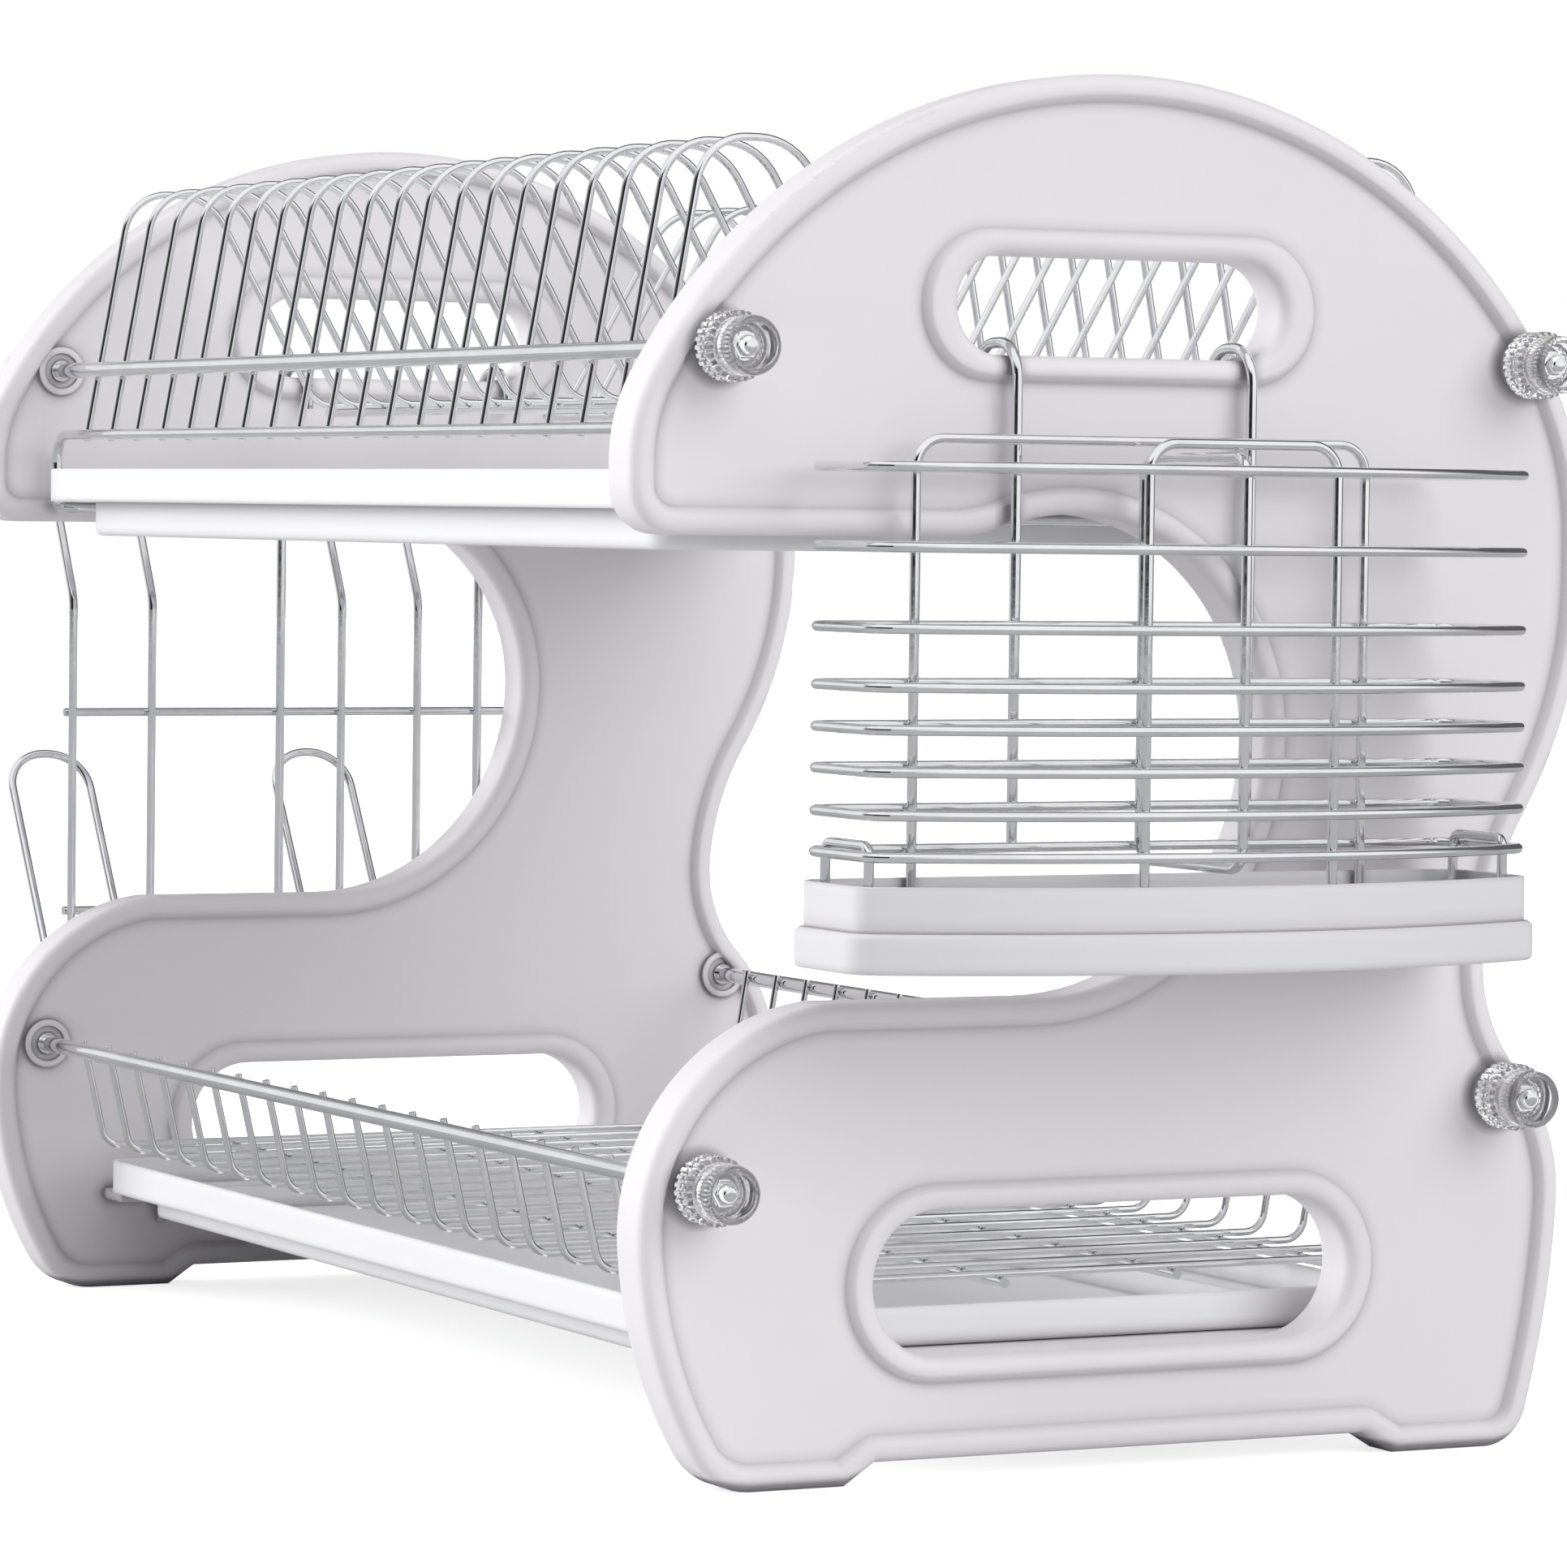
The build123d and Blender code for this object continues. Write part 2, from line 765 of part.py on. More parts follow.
# Utensil holder: stacked rings with a bowed front, held by two arches and a divider
bow_angle = 2 * atan(2 * holder_bow / holder_length)
ring_back_x = hook_weld_x
ring_front_x = ring_back_x + holder_depth
ring_end_y = holder_length / 2
ring_stub = ring_stub_share * holder_corner
bow_start_x = ring_front_x + ring_stub * sin(bow_angle)
bow_start_y = ring_end_y - ring_stub * cos(bow_angle)
bow_radius = bow_start_y / sin(bow_angle)
bow_middle_x = bow_start_x + bow_radius * (1 - cos(bow_angle))
back_stub_y = ring_end_y - ring_stub
ring_places = [(0, 0, ring_bottom + share * ring_stack) for share in ring_level_shares]
ring_top = ring_bottom + ring_stack

end_wire = round_wire(
    [
        (ring_back_x, back_stub_y, 0),
        (ring_back_x, ring_end_y, 0),
        (ring_front_x, ring_end_y, 0),
        (bow_start_x, bow_start_y, 0),
    ],
    basket_wire,
    holder_corner,
)
back_wire = straight_wire(
    (ring_back_x, -back_stub_y, 0), (ring_back_x, back_stub_y, 0), basket_wire
)
with BuildPart() as front_wire:
    with BuildLine() as bow:
        ThreePointArc(
            (bow_start_x, -bow_start_y, 0), (bow_middle_x, 0, 0), (bow_start_x, bow_start_y, 0)
        )
    with BuildSketch(Plane(origin=bow.line @ 0, z_dir=bow.line % 0)):
        Circle(basket_wire)
    sweep()
with BuildPart() as end_wires:
    with Locations(*ring_places):
        add(end_wire)
    mirror(about=Plane.XZ)
save(end_wires.part, "holder_end_wires")
save(at_places(back_wire, ring_places), "holder_back_wires")
save(at_places(front_wire.part, ring_places), "holder_front_wires")

wire_step = 2 * basket_wire - weld_sink
back_arch_x = ring_back_x + wire_step
front_arch_half = front_arch_width / 2
arch_bow_drop = bow_radius * (1 - cos(front_arch_half / bow_radius))
front_arch_x = bow_middle_x - arch_bow_drop - wire_step
holder_floor_z = ring_bottom - leg_depth


def arch(x, half_width, top_z):
    return round_wire(
        [
            (x, -half_width, holder_floor_z),
            (x, -half_width, top_z),
            (x, half_width, top_z),
            (x, half_width, holder_floor_z),
        ],
        basket_wire,
        arch_bend,
    )


save(arch(back_arch_x, back_arch_width / 2, ring_top + back_arch_rise), "holder_back_arch")
save(arch(front_arch_x, front_arch_half, ring_top + front_arch_rise), "holder_front_arch")

divider_front_x = bow_middle_x - wire_step
divider_top = ring_top + divider_rise
divider_foot = ring_bottom - divider_rise
divider = round_wire(
    [
        (back_arch_x, 0, divider_foot),
        (back_arch_x, 0, divider_top),
        (divider_front_x, 0, divider_top),
        (divider_front_x, 0, divider_foot),
    ],
    basket_wire,
    divider_bend,
    closed=True,
)
save(divider, "holder_divider")
save(hang_hooks(ring_bottom), "holder_hang_hooks")

# The basket floor: a long loop that clips over both end wires, with short bars across
floor_loop_x = ring_back_x + floor_wire_inset
floor_loop_far_x = floor_loop_x + floor_loop_width
floor_loop_y = ring_end_y - wire_step
clip_top = ring_bottom + wire_step
floor_loop = round_wire(
    [
        (floor_loop_x, -floor_loop_y, holder_floor_z),
        (floor_loop_x, -floor_loop_y, clip_top),
        (floor_loop_far_x, -floor_loop_y, clip_top),
        (floor_loop_far_x, -floor_loop_y, holder_floor_z),
        (floor_loop_far_x, floor_loop_y, holder_floor_z),
        (floor_loop_far_x, floor_loop_y, clip_top),
        (floor_loop_x, floor_loop_y, clip_top),
        (floor_loop_x, floor_loop_y, holder_floor_z),
    ],
    basket_wire,
    floor_loop_bend,
    closed=True,
)
save(floor_loop, "holder_floor_loop")

bar_z = holder_floor_z + wire_step
bar_first_y = -floor_loop_y + floor_bar_margin
bar_pitch = 2 * (floor_loop_y - floor_bar_margin) / (floor_bar_count - 1)
bar_reach = floor_bar_overhang + basket_wire
floor_bar = straight_wire(
    (floor_loop_x - bar_reach, bar_first_y, bar_z),
    (floor_loop_far_x + bar_reach, bar_first_y, bar_z),
    basket_wire,
)
bar_places = [(0, n * bar_pitch, 0) for n in range(floor_bar_count)]
save(at_places(floor_bar, bar_places), "holder_floor_bars")


# Utensil drip tray, a cup of the rings' outline with a wider foot
cup_top = ring_bottom - cup_below_ring
cup_bottom = cup_top - cup_height
cup_end_y = ring_end_y + cup_end_reach
cup_corner_x = ring_front_x - cup_end_reach * tan(bow_angle)


def cup_layer(level, margin):
    """The rings' outline, a little longer, at a level and moved outwards by a margin."""
    with BuildSketch(Plane.XY.offset(level)) as layer:
        with BuildLine():
            back = Line((ring_back_x, bow_start_y), (ring_back_x, -bow_start_y))
            near = FilletPolyline(
                back @ 1,
                (ring_back_x, -cup_end_y),
                (cup_corner_x, -cup_end_y),
                (bow_start_x, -bow_start_y),
                radius=holder_corner,
            )
            ThreePointArc(near @ 1, (bow_middle_x, 0), (bow_start_x, bow_start_y))
            FilletPolyline(
                (bow_start_x, bow_start_y),
                (cup_corner_x, cup_end_y),
                (ring_back_x, cup_end_y),
                back @ 0,
                radius=holder_corner,
            )
        make_face()
        offset(amount=margin)
    return layer.sketch


with BuildPart() as utensil_tray:
    add(cup_layer(cup_bottom, cup_margin + cup_flare))
    extrude(amount=cup_flare_height)
    chamfer(utensil_tray.faces().sort_by(Axis.Z)[-1].edges(), length=cup_flare / 2)
    fillet(utensil_tray.faces().sort_by(Axis.Z)[0].edges(), radius=cup_wall)
    add(cup_layer(cup_bottom, cup_margin))
    extrude(amount=cup_height)
    add(cup_layer(cup_bottom + cup_wall, cup_margin - cup_wall))
    extrude(amount=cup_height, mode=Mode.SUBTRACT)
    fillet(utensil_tray.faces().sort_by(Axis.Z)[-1].edges(), radius=cup_edge_round)
save(utensil_tray.part, "utensil_drip_tray")


# Cup rack: closed wire loops, each with a top that leans out and a rising mug hook
top_reach = (mug_top_level - mug_lean_level) * tan(radians(mug_top_lean))
mug_x = hook_weld_x - wire_step
vertex_z = mug_tip_level - mug_tip_reach / tan(radians(mug_tip_lean))
half_loop = mug_loop_half_width
mug_loop = round_wire(
    [
        (-mug_x - top_reach, -half_loop, mug_top_level),
        (-mug_x, -half_loop, mug_lean_level),
        (-mug_x, -half_loop, vertex_z),
        (-mug_x - mug_tip_reach, -half_loop, mug_tip_level),
        (-mug_x - mug_tip_reach, half_loop, mug_tip_level),
        (-mug_x, half_loop, vertex_z),
        (-mug_x, half_loop, mug_lean_level),
        (-mug_x - top_reach, half_loop, mug_top_level),
    ],
    basket_wire,
    [
        half_loop * mug_round_share,
        mug_lean_bend,
        mug_hook_bend,
        half_loop * mug_round_share,
        half_loop * mug_round_share,
        mug_hook_bend,
        mug_lean_bend,
        half_loop * mug_round_share,
    ],
    closed=True,
)
mug_loop_places = [
    (0, (n - (mug_loop_count - 1) / 2) * mug_loop_pitch, 0) for n in range(mug_loop_count)
]
save(at_places(mug_loop, mug_loop_places), "cup_rack_loops")

bar_x = -hook_weld_x
bar_end_y = mug_loop_places[-1][1] + mug_loop_half_width + mug_bar_overhang
for bar_name, bar_level in (("upper", mug_upper_bar), ("lower", mug_lower_bar)):
    cup_bar = straight_wire(
        (bar_x, -bar_end_y, bar_level), (bar_x, bar_end_y, bar_level), basket_wire
    )
    save(cup_bar, f"cup_rack_{bar_name}_bar")
with BuildPart() as cup_rack_hooks:
    mirror(hang_hooks(mug_lower_bar - mug_stem_below_bar), about=Plane.YZ)
save(cup_rack_hooks.part, "cup_rack_hang_hooks")
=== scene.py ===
import math

import bmesh
import bpy
from mathutils import Matrix, Vector


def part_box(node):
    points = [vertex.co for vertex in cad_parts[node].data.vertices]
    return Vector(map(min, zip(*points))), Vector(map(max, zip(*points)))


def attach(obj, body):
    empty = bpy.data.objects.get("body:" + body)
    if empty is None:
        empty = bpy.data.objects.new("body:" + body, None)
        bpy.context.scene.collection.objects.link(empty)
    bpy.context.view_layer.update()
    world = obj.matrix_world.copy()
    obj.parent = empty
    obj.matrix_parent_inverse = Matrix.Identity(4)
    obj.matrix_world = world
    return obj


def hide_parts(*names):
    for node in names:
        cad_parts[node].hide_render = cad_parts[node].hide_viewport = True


# Camera: place in metres, angles in degrees, focal length in pixels of the picture
CAMERA_PLACE = Vector((1.817238, -0.891635, 0.262135))
CAMERA_YAW = 26.7608
CAMERA_PITCH = 2.3948
CAMERA_ROLL = 0.6874
FOCAL_PIXELS = 8127.95
PICTURE_WIDTH = 1931
SENSOR_WIDTH = 36.0
CLIP_START = 0.05
CLIP_END = 60.0

# Light: strengths, directions to the lamps, and how wide the lamps are in degrees. AMBIENT lights
# the rack from all sides, and BACKGROUND is the white that the camera and gloss see
WHITE = (1.0, 1.0, 1.0, 1.0)
AMBIENT = 0.3
BACKGROUND = 1.0
SIDE_STRENGTH = 1.55
SIDE_FROM = Vector((0.84, 0.42, 0.48))
SIDE_SOFTNESS = 48.0
FRONT_STRENGTH = 3.4
FRONT_FROM = Vector((-0.60, -0.78, 0.16))
FRONT_SOFTNESS = 50.0
TOP_STRENGTH = 0.9
TOP_FROM = Vector((0.12, -0.2, 1.0))
TOP_SOFTNESS = 70.0

# Patterns of noise here and below are (scale, detail), and those that are spread over a range of
# values also have the band of the noise that fills it. Reliefs are (strength, depth in metres)

# Floor: half its side in metres, its glow where it is seen, its tints, and its tone in gloss
FLOOR_HALF = 12.0
FLOOR_GLOW = 0.75
FLOOR_LIGHT = (0.70, 0.70, 0.70)
FLOOR_SHADE = (0.68, 0.68, 0.68)
FLOOR_IN_GLOSS = (0.48, 0.48, 0.485)
FLOOR_ROUGHNESS = 0.9
FLOOR_CLOUDS = (3.0, 3.0)

# What gloss mirrors round the horizon: degrees from +X towards +Y, and a brightness
HORIZON = (
    (-180.0, 0.35),
    (-165.0, 0.9),
    (-135.0, 0.9),
    (-118.0, 0.2),
    (-80.0, 0.12),
    (-70.0, 0.02),
    (-22.0, 0.02),
    (-12.0, 1.0),
    (62.0, 1.0),
    (76.0, 0.12),
    (150.0, 0.12),
    (180.0, 0.35),
)

# The white box overhead that gloss mirrors: where it starts and is full as a share of height, where
# it ends towards the far side and how softly, and the direction of its near side
TOP_BOX_LOW = 0.42
TOP_BOX_HIGH = 0.56
TOP_BOX_END = -0.12
TOP_BOX_END_SOFT = 0.06
TOP_BOX_SIDE = Vector((0.893, -0.45, 0.0))

# Moulded plastics by slot: name, light tint, shade tint, painted groove shade, range of roughness
PLASTICS = {
    "panel_plastic": (
        "panel_plastic_white",
        (0.84, 0.82, 0.85),
        (0.81, 0.79, 0.82),
        (0.32, 0.31, 0.34),
        (0.34, 0.4),
    ),
    "tray_plastic": (
        "tray_plastic_white",
        (0.90, 0.90, 0.91),
        (0.88, 0.88, 0.89),
        (0.60, 0.59, 0.62),
        (0.3, 0.35),
    ),
    "cup_plastic": (
        "cup_plastic_grey",
        (0.76, 0.75, 0.77),
        (0.73, 0.72, 0.745),
        (0.42, 0.41, 0.44),
        (0.32, 0.37),
    ),
}

# Their surface: reach of the painted groove shade and radius of a softened edge in metres, and
# how open a groove and plain ground are to the light
GROOVE_REACH = 0.0045
GROOVE_OPEN = 0.6
GROUND_OPEN = 0.97
EDGE_RADIUS = 0.003
EDGE_SAMPLES = 8
PLASTIC_IOR = 1.49
TINT_DRIFT = (7.0, 3.0, 0.35, 0.65)
GLOSS_PATCHES = (38.0, 4.0, 0.3, 0.7)
WAVES = (24.0, 1.0)
WAVE_RELIEF = (0.1, 0.0005)
GRAIN = (2600.0, 2.0)
GRAIN_RELIEF = (0.16, 0.00004)

# Chrome plate: tints, range of roughness, clouds of tint, marks and drawing lines
CHROME_LIGHT = (0.88, 0.88, 0.89)
CHROME_SHADE = (0.78, 0.79, 0.81)
CHROME_GLOSS = (0.03, 0.1)
CHROME_CLOUDS = (55.0, 3.0, 0.3, 0.7)
CHROME_MARKS = (420.0, 3.0, 0.3, 0.75)
CHROME_LINES = (900.0, 2.0)
CHROME_RELIEF = (0.08, 0.00003)

# Clear acrylic: tints, range of roughness, share of light let through, haze, tint and flow marks
CLEAR_LIGHT = (0.99, 0.99, 0.99)
CLEAR_SHADE = (0.96, 0.96, 0.96)
CLEAR_GLOSS = (0.02, 0.07)
CLEAR_PASS = 0.96
CLEAR_HAZE = (260.0, 3.0, 0.35, 0.75)
CLEAR_TINT = (120.0, 2.0)
CLEAR_FLOW = (240.0, 1.0)
CLEAR_RELIEF = (0.1, 0.0001)

# Knob and nut sizes in metres. The lengths and the nut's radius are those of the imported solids
RODS = ("upper_front", "upper_rear", "lower_front", "lower_rear")
NUT_RADIUS = 0.0039
NUT_LENGTH = 0.0164
KNOB_RADIUS = 0.0089
KNOB_LENGTH = 0.0185
KNOB_NECK = 0.0080
KNOB_MOUTH = 0.0064
KNOB_MOUTH_FLOOR = 0.0120
KNOB_TEETH = 26
TOOTH_HEIGHT = 0.00096
TOOTH_ROOT = KNOB_RADIUS - TOOTH_HEIGHT / 2

# One tooth as shares of its height, step by step round the knob
TOOTH_WAVE = (1.0, 1.0, 1.0, 1.0, 1.0, 0.0, 0.0, 0.0)

# The knob's outline from its seat out to its lip and into its mouth. A row is a place on the axis,
# a radius, and how much of a tooth's height stands on it
KNOB_OUTLINE = (
    (0.0, NUT_RADIUS, 0.0),
    (0.0, 0.0079, 0.0),
    (0.0003, 0.0084, 0.0),
    (0.0008, TOOTH_ROOT, 0.6),
    (0.0012, TOOTH_ROOT, 1.0),
    (0.0037, TOOTH_ROOT, 1.0),
    (0.0041, TOOTH_ROOT, 0.6),
    (0.0043, 0.0082, 0.0),
    (0.0051, 0.0082, 0.0),
    (0.0053, TOOTH_ROOT, 0.6),
    (0.0057, TOOTH_ROOT, 1.0),
    (0.0088, TOOTH_ROOT, 1.0),
    (0.0093, TOOTH_ROOT, 0.6),
    (0.0097, 0.0083, 0.0),
    (0.0104, 0.0081, 0.0),
    (0.0112, KNOB_NECK, 0.0),
    (0.0165, KNOB_NECK, 0.0),
    (0.0176, 0.00785, 0.0),
    (0.0182, 0.0075, 0.0),
    (KNOB_LENGTH, 0.0071, 0.0),
    (0.0184, 0.0067, 0.0),
    (0.0180, KNOB_MOUTH, 0.0),
    (0.0170, 0.0062, 0.0),
    (0.0128, 0.0057, 0.0),
    (0.0122, 0.0054, 0.0),
    (KNOB_MOUTH_FLOOR, 0.0050, 0.0),
    (KNOB_MOUTH_FLOOR, NUT_RADIUS, 0.0),
)

# The nut's shank ends under the mouth's floor, and its collar has a bevelled rim. The last ring of
# the dome stops a little short of the tip, by the share that DOME_SPAN is more than DOME_RINGS
NUT_STEPS = 72
NUT_SHANK_END = KNOB_MOUTH_FLOOR - 0.0002
NUT_COLLAR_END = KNOB_MOUTH_FLOOR + 0.0014
NUT_BEVEL_LENGTH = 0.0003
NUT_BEVEL_DEPTH = 0.0004
DOME_RADIUS = 0.0029
DOME_RINGS = 15
DOME_SPAN = 15.2

# Angles in degrees past which a mesh shows a sharp edge
KNOB_SHARP = 34.0
NUT_SHARP = 28.0


def add_node(tree, kind, inputs=None, **settings):
    """A shader node with its inputs and settings filled in."""
    node = tree.nodes.new(kind)
    for name, value in settings.items():
        setattr(node, name, value)
    for name, value in (inputs or {}).items():
        node.inputs[name].default_value = value
    return node


def new_material(name):
    """A material, its node tree and its surface shader."""
    material = bpy.data.materials.new(name)
    material.use_nodes = True
    return material, material.node_tree, material.node_tree.nodes["Principled BSDF"]


def noise(tree, place, scale, detail):
    """The value of a noise pattern at a place."""
    texture = add_node(tree, "ShaderNodeTexNoise", {"Scale": scale, "Detail": detail})
    tree.links.new(place, texture.inputs["Vector"])
    return texture.outputs["Fac"]


def span(tree, value, low, high, to_low, to_high):
    """A value moved from one range to another, held at the ends."""
    mapped = add_node(
        tree,
        "ShaderNodeMapRange",
        {"From Min": low, "From Max": high, "To Min": to_low, "To Max": to_high},
    )
    tree.links.new(value, mapped.inputs["Value"])
    return mapped.outputs["Result"]


def spread_noise(tree, place, pattern, to_low, to_high):
    """The value of a noise pattern, whose band is spread over a range."""
    scale, detail, low, high = pattern
    return span(tree, noise(tree, place, scale, detail), low, high, to_low, to_high)


def either(tree, first, second):
    """The greater of two values."""
    node = add_node(tree, "ShaderNodeMath", operation="MAXIMUM")
    tree.links.new(first, node.inputs[0])
    tree.links.new(second, node.inputs[1])
    return node.outputs[0]


def blend_colours(tree, factor, first, second):
    """A mix of two colours, each a tuple or the output of a node."""
    mix = add_node(tree, "ShaderNodeMix", data_type="RGBA")
    tree.links.new(factor, mix.inputs["Factor"])
    for socket, colour in ((mix.inputs[6], first), (mix.inputs[7], second)):
        if isinstance(colour, tuple):
            socket.default_value = (*colour, 1.0)
        else:
            tree.links.new(colour, socket)
    return mix.outputs[2]


def bump(tree, height, relief, under=None):
    """A normal bent by a height, on top of another normal if one is given."""
    strength, distance = relief
    node = add_node(tree, "ShaderNodeBump", {"Strength": strength, "Distance": distance})
    tree.links.new(height, node.inputs["Height"])
    if under:
        tree.links.new(under, node.inputs["Normal"])
    return node.outputs["Normal"]


def moulded_plastic(name, light, shade, groove_painted_shade, gloss):
    """Injection moulded plastic: slow drifts of tint, fine grain, shade painted into its grooves.
    """
    material, tree, shader = new_material(name)
    place = add_node(tree, "ShaderNodeTexCoord").outputs["Object"]
    drift = spread_noise(tree, place, TINT_DRIFT, 0.0, 1.0)
    tint = blend_colours(tree, drift, light, shade)
    # Painted shade: the colour darkens towards the groove tint where ambient occlusion finds walls
    # close by, in grooves and corners
    corner = add_node(
        tree, "ShaderNodeAmbientOcclusion", {"Distance": GROOVE_REACH}, samples=EDGE_SAMPLES
    )
    painted_shade_share = span(tree, corner.outputs["AO"], GROOVE_OPEN, GROUND_OPEN, 1.0, 0.0)
    colour = blend_colours(tree, painted_shade_share, tint, groove_painted_shade)
    tree.links.new(colour, shader.inputs["Base Color"])
    patches = spread_noise(tree, place, GLOSS_PATCHES, *gloss)
    tree.links.new(patches, shader.inputs["Roughness"])
    edges = add_node(tree, "ShaderNodeBevel", {"Radius": EDGE_RADIUS}, samples=EDGE_SAMPLES)
    waves = bump(tree, noise(tree, place, *WAVES), WAVE_RELIEF, edges.outputs["Normal"])
    grain = bump(tree, noise(tree, place, *GRAIN), GRAIN_RELIEF, waves)
    tree.links.new(grain, shader.inputs["Normal"])
    shader.inputs["IOR"].default_value = PLASTIC_IOR
    return material


def chrome(name):
    """Plated wire: bright, a little uneven, with fine drawing marks."""
    material, tree, shader = new_material(name)
    place = add_node(tree, "ShaderNodeTexCoord").outputs["Object"]
    clouds = spread_noise(tree, place, CHROME_CLOUDS, 0.0, 1.0)
    colour = blend_colours(tree, clouds, CHROME_LIGHT, CHROME_SHADE)
    tree.links.new(colour, shader.inputs["Base Color"])
    marks = spread_noise(tree, place, CHROME_MARKS, *CHROME_GLOSS)
    tree.links.new(marks, shader.inputs["Roughness"])
    lines = bump(tree, noise(tree, place, *CHROME_LINES), CHROME_RELIEF)
    tree.links.new(lines, shader.inputs["Normal"])
    shader.inputs["Metallic"].default_value = 1.0
    return material


def clear_plastic(name):
    """Clear acrylic with a faint haze and flow marks from its mould."""
    material, tree, shader = new_material(name)
    place = add_node(tree, "ShaderNodeTexCoord").outputs["Object"]
    haze = spread_noise(tree, place, CLEAR_HAZE, *CLEAR_GLOSS)
    tree.links.new(haze, shader.inputs["Roughness"])
    clouds = noise(tree, place, *CLEAR_TINT)
    tint = blend_colours(tree, clouds, CLEAR_LIGHT, CLEAR_SHADE)
    tree.links.new(tint, shader.inputs["Base Color"])
    flow = bump(tree, noise(tree, place, *CLEAR_FLOW), CLEAR_RELIEF)
    tree.links.new(flow, shader.inputs["Normal"])
    shader.inputs["Transmission Weight"].default_value = CLEAR_PASS
    shader.inputs["IOR"].default_value = PLASTIC_IOR
    return material


def make_materials():
    """The five finishes by the slot names of the record."""
    made = {slot: moulded_plastic(*values) for slot, values in PLASTICS.items()}
    made["chrome_wire"] = chrome("chrome_plate")
    made["clear_plastic"] = clear_plastic("clear_acrylic")
    return made


def slot_of(node_name):
    """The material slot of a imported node."""
    if node_name.endswith("end_panel"):
        return "panel_plastic"
    if node_name == "utensil_drip_tray":
        return "cup_plastic"
    if node_name.endswith("drip_tray"):
        return "tray_plastic"
    if node_name.endswith("_knob"):
        return "clear_plastic"
    return "chrome_wire"


def dress_nodes(nodes, materials):
    """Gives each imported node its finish."""
    for name, node in nodes.items():
        material = materials[slot_of(name)]
        if not node.material_slots:
            node.data.materials.append(None)
        for material_slot in node.material_slots:
            material_slot.link = "OBJECT"
            material_slot.material = material


def add_piece(name, mesh, material, body, slot, *nodes):
    """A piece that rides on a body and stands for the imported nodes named."""
    piece = bpy.data.objects.new(name, mesh)
    bpy.context.scene.collection.objects.link(piece)
    if not mesh.materials:
        mesh.materials.append(material)
    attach(piece, body)
    if nodes:
        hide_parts(*nodes)
    return piece


def turned_mesh(name, rings, side, closed):
    """A mesh of rings round the X axis. A ring is its place on the axis and a radius per step."""
    shape = bmesh.new()
    loops = []
    for along, radii in rings:
        steps = len(radii)
        loops.append(
            [
                shape.verts.new(
                    (
                        side * along,
                        radius * math.cos(math.tau * n / steps),
                        radius * math.sin(math.tau * n / steps),
                    )
                )
                for n, radius in enumerate(radii)
            ]
        )
    pairs = list(zip(loops, loops[1:] + loops[:1] if closed else loops[1:]))
    for low, high in pairs:
        steps = len(low)
        for n in range(steps):
            shape.faces.new((low[n], low[(n + 1) % steps], high[(n + 1) % steps], high[n]))
    if not closed:
        for loop, along in ((loops[0], rings[0][0]), (loops[-1], rings[-1][0])):
            middle = shape.verts.new((side * along, 0.0, 0.0))
            for n in range(len(loop)):
                shape.faces.new((loop[n], loop[(n + 1) % len(loop)], middle))
    bmesh.ops.recalc_face_normals(shape, faces=shape.faces)
    mesh = bpy.data.meshes.new(name)
    shape.to_mesh(mesh)
    shape.free()
    return mesh


def smooth_mesh(mesh, sharp_degrees):
    """The mesh with smooth faces and its sharp edges kept."""
    for face in mesh.polygons:
        face.use_smooth = True
    mesh.set_sharp_from_angle(angle=math.radians(sharp_degrees))
    return mesh


def knob_mesh(side):
    """A clear knob: two rows of teeth with a groove between, a smooth neck and an open mouth."""
    rings = [
        (along, [radius + TOOTH_HEIGHT * wave * share for wave in TOOTH_WAVE * KNOB_TEETH])
        for along, radius, share in KNOB_OUTLINE
    ]
    return smooth_mesh(turned_mesh(f"knob_mesh_{side}", rings, side, True), KNOB_SHARP)


def round_ring(radius):
    """The radii of a circle."""
    return [radius] * NUT_STEPS


def six_sided_ring(radius):
    """The radii of a hexagon, which has the radius given at its corners."""
    half = math.pi / 6
    angles = (math.tau * n / NUT_STEPS % (2 * half) - half for n in range(NUT_STEPS))
    return [radius * math.cos(half) / math.cos(angle) for angle in angles]


def nut_mesh(side):
    """A plated cap nut: a plain shank, a six-sided collar in the mouth and a domed cap."""
    rings = [
        (0.0, round_ring(NUT_RADIUS)),
        (NUT_SHANK_END, round_ring(NUT_RADIUS)),
        (NUT_SHANK_END, six_sided_ring(NUT_RADIUS)),
        (NUT_COLLAR_END - NUT_BEVEL_LENGTH, six_sided_ring(NUT_RADIUS)),
        (NUT_COLLAR_END, six_sided_ring(NUT_RADIUS - NUT_BEVEL_DEPTH)),
        (NUT_COLLAR_END, round_ring(DOME_RADIUS)),
    ]
    for n in range(1, DOME_RINGS + 1):
        angle = n / DOME_SPAN * math.pi / 2
        along = NUT_COLLAR_END + (NUT_LENGTH - NUT_COLLAR_END) * math.sin(angle)
        rings.append((along, round_ring(DOME_RADIUS * math.sqrt(math.cos(angle)))))
    return smooth_mesh(turned_mesh(f"nut_mesh_{side}", rings, side, False), NUT_SHARP)


def make_knobs(materials):
    """Toothed knobs and cap nuts in place of the plain packed ones."""
    for side_name, side in (("right", 1), ("left", -1)):
        shapes = (
            ("knob", "toothed_knob", knob_mesh(side), "clear_plastic"),
            ("nut", "cap_nut", nut_mesh(side), "chrome_wire"),
        )
        for rod in RODS:
            low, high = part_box(f"{side_name}_{rod}_knob")
            seat = low.x if side > 0 else high.x
            place = Vector((seat, (low.y + high.y) / 2, (low.z + high.z) / 2))
            for node_end, piece_end, mesh, slot in shapes:
                piece = add_piece(
                    f"{side_name}_{rod}_{piece_end}",
                    mesh,
                    materials[slot],
                    f"{side_name}_{rod}_knob_body",
                    slot,
                    f"{side_name}_{rod}_{node_end}",
                )
                piece.location = place


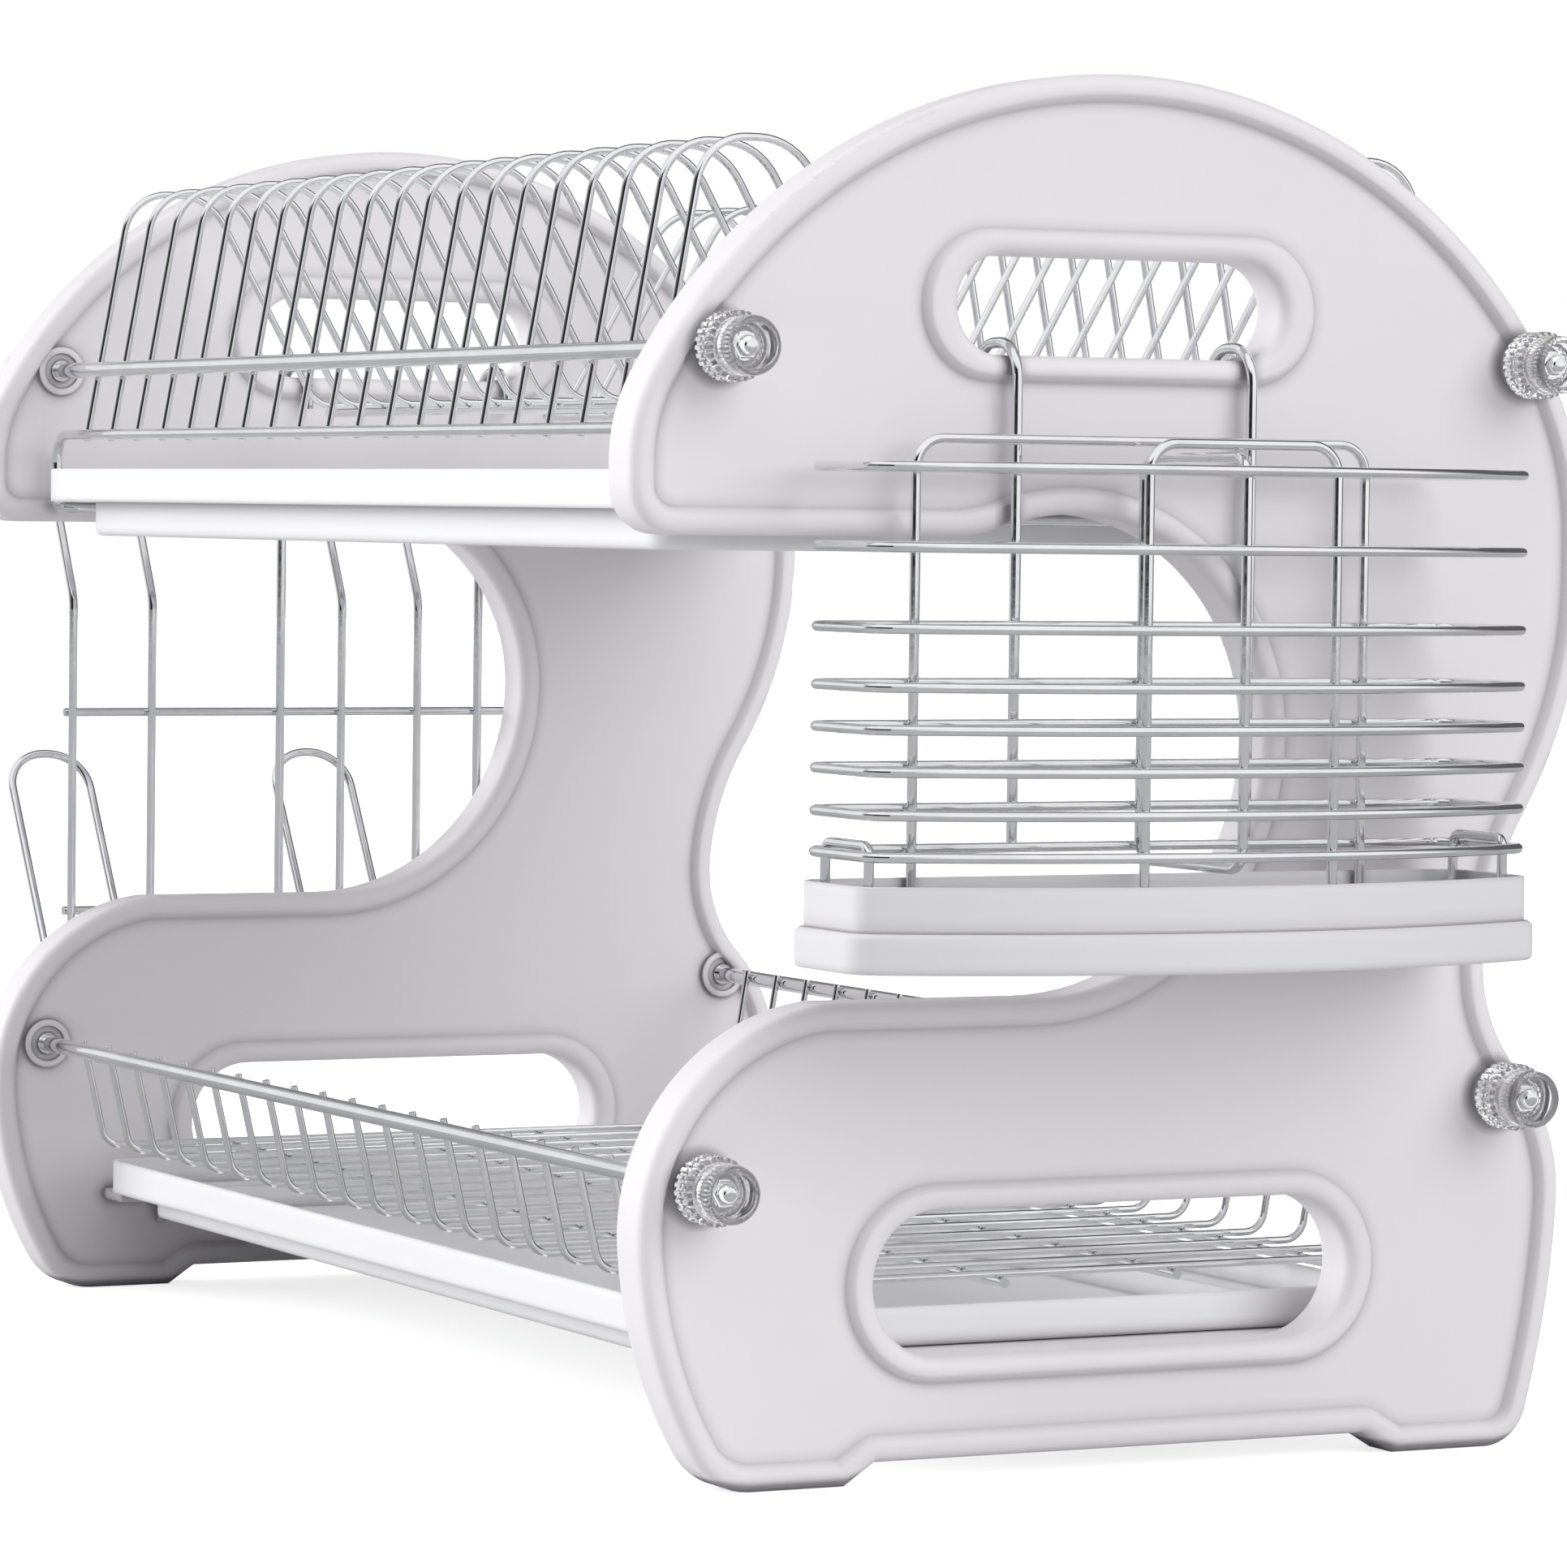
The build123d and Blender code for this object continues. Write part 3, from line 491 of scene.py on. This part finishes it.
def make_camera():
    """The camera that was solved from the photograph."""
    yaw, pitch, roll = (math.radians(a) for a in (CAMERA_YAW, CAMERA_PITCH, CAMERA_ROLL))
    ahead = Vector(
        (-math.cos(yaw) * math.cos(pitch), math.sin(yaw) * math.cos(pitch), -math.sin(pitch))
    )
    level_right = ahead.cross(Vector((0, 0, 1))).normalized()
    level_up = level_right.cross(ahead)
    right = math.cos(roll) * level_right + math.sin(roll) * level_up
    up = math.cos(roll) * level_up - math.sin(roll) * level_right
    data = bpy.data.cameras.new("camera")
    data.sensor_fit = "HORIZONTAL"
    data.sensor_width = SENSOR_WIDTH
    data.lens = SENSOR_WIDTH * FOCAL_PIXELS / PICTURE_WIDTH
    data.clip_start = CLIP_START
    data.clip_end = CLIP_END
    camera = bpy.data.objects.new("camera", data)
    bpy.context.scene.collection.objects.link(camera)
    turn = Matrix((right, up, -ahead)).transposed().to_4x4()
    camera.matrix_world = Matrix.Translation(CAMERA_PLACE) @ turn
    bpy.context.scene.camera = camera


def make_sun(name, strength, source, softness):
    """A soft lamp that gloss doesn't mirror."""
    data = bpy.data.lights.new(name, "SUN")
    data.energy = strength
    data.angle = math.radians(softness)
    lamp = bpy.data.objects.new(name, data)
    lamp.visible_glossy = False
    bpy.context.scene.collection.objects.link(lamp)
    lamp.rotation_euler = source.to_track_quat("Z", "Y").to_euler()


def make_world():
    """A white studio: plain light for matt surfaces, and dark flags that only gloss shows."""
    world = bpy.data.worlds.new("studio")
    bpy.context.scene.world = world
    world.use_nodes = True
    tree = world.node_tree
    tree.nodes.clear()
    out = add_node(tree, "ShaderNodeOutputWorld")
    path = add_node(tree, "ShaderNodeLightPath").outputs
    direction = add_node(tree, "ShaderNodeTexCoord").outputs["Generated"]
    parts = add_node(tree, "ShaderNodeSeparateXYZ")
    tree.links.new(direction, parts.inputs[0])
    azimuth = add_node(tree, "ShaderNodeMath", operation="ARCTAN2")
    tree.links.new(parts.outputs["Y"], azimuth.inputs[0])
    tree.links.new(parts.outputs["X"], azimuth.inputs[1])
    turn = span(tree, azimuth.outputs[0], -math.pi, math.pi, 0.0, 1.0)
    flags = add_node(tree, "ShaderNodeValToRGB")
    tree.links.new(turn, flags.inputs["Fac"])
    stops = flags.color_ramp.elements
    for degrees, _ in HORIZON[1:-1]:
        stops.new((degrees + 180) / 360)
    for stop, (degrees, level) in zip(stops, HORIZON):
        stop.position = (degrees + 180) / 360
        stop.color = (level, level, level, 1.0)
    height_share = span(tree, parts.outputs["Z"], TOP_BOX_LOW, TOP_BOX_HIGH, 0.0, 1.0)
    towards = add_node(tree, "ShaderNodeVectorMath", operation="DOT_PRODUCT")
    tree.links.new(direction, towards.inputs[0])
    towards.inputs[1].default_value = TOP_BOX_SIDE
    near_share = span(
        tree,
        towards.outputs["Value"],
        TOP_BOX_END - TOP_BOX_END_SOFT,
        TOP_BOX_END + TOP_BOX_END_SOFT,
        0.0,
        1.0,
    )
    top_share = add_node(tree, "ShaderNodeMath", operation="MULTIPLY")
    tree.links.new(height_share, top_share.inputs[0])
    tree.links.new(near_share, top_share.inputs[1])
    mirrored = blend_colours(tree, top_share.outputs[0], flags.outputs["Color"], WHITE[:3])
    plain = add_node(tree, "ShaderNodeBackground", {"Color": WHITE, "Strength": AMBIENT})
    seen = add_node(tree, "ShaderNodeBackground", {"Color": WHITE, "Strength": BACKGROUND})
    gloss = add_node(tree, "ShaderNodeBackground", {"Strength": BACKGROUND})
    tree.links.new(mirrored, gloss.inputs["Color"])
    straight = either(tree, path["Is Camera Ray"], path["Is Transmission Ray"])
    first = add_node(tree, "ShaderNodeMixShader")
    tree.links.new(path["Is Glossy Ray"], first.inputs[0])
    tree.links.new(plain.outputs[0], first.inputs[1])
    tree.links.new(gloss.outputs[0], first.inputs[2])
    second = add_node(tree, "ShaderNodeMixShader")
    tree.links.new(straight, second.inputs[0])
    tree.links.new(first.outputs[0], second.inputs[1])
    tree.links.new(seen.outputs[0], second.inputs[2])
    tree.links.new(second.outputs[0], out.inputs["Surface"])


def make_floor():
    """A pale matt floor that keeps the shadow of the rack and looks white to the camera."""
    material, tree, shader = new_material("floor_paint")
    place = add_node(tree, "ShaderNodeTexCoord").outputs["Object"]
    clouds = noise(tree, place, *FLOOR_CLOUDS)
    colour = blend_colours(tree, clouds, FLOOR_LIGHT, FLOOR_SHADE)
    path = add_node(tree, "ShaderNodeLightPath").outputs
    colour = blend_colours(tree, path["Is Glossy Ray"], colour, FLOOR_IN_GLOSS)
    tree.links.new(colour, shader.inputs["Base Color"])
    shader.inputs["Roughness"].default_value = FLOOR_ROUGHNESS
    straight = either(tree, path["Is Camera Ray"], path["Is Transmission Ray"])
    glow = span(tree, straight, 0.0, 1.0, 0.0, FLOOR_GLOW)
    tree.links.new(glow, shader.inputs["Emission Strength"])
    shader.inputs["Emission Color"].default_value = WHITE
    mesh = bpy.data.meshes.new("floor")
    signs = [(-1, -1), (1, -1), (1, 1), (-1, 1)]
    corners = [(x * FLOOR_HALF, y * FLOOR_HALF, 0) for x, y in signs]
    mesh.from_pydata(corners, [], [(0, 1, 2, 3)])
    mesh.materials.append(material)
    floor = bpy.data.objects.new("floor", mesh)
    bpy.context.scene.collection.objects.link(floor)


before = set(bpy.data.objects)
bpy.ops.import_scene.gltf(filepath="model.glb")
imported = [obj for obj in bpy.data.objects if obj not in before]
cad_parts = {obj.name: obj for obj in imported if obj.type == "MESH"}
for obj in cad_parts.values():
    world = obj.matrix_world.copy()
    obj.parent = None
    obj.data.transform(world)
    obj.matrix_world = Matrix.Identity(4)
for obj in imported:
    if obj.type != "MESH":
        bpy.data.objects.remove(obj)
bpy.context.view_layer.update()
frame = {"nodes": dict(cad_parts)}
bpy.context.scene.view_settings.view_transform = "Standard"
finishes = make_materials()
dress_nodes(frame["nodes"], finishes)
make_knobs(finishes)
make_camera()
make_world()
make_sun("side_softbox", SIDE_STRENGTH, SIDE_FROM, SIDE_SOFTNESS)
make_sun("front_softbox", FRONT_STRENGTH, FRONT_FROM, FRONT_SOFTNESS)
make_sun("top_softbox", TOP_STRENGTH, TOP_FROM, TOP_SOFTNESS)
make_floor()
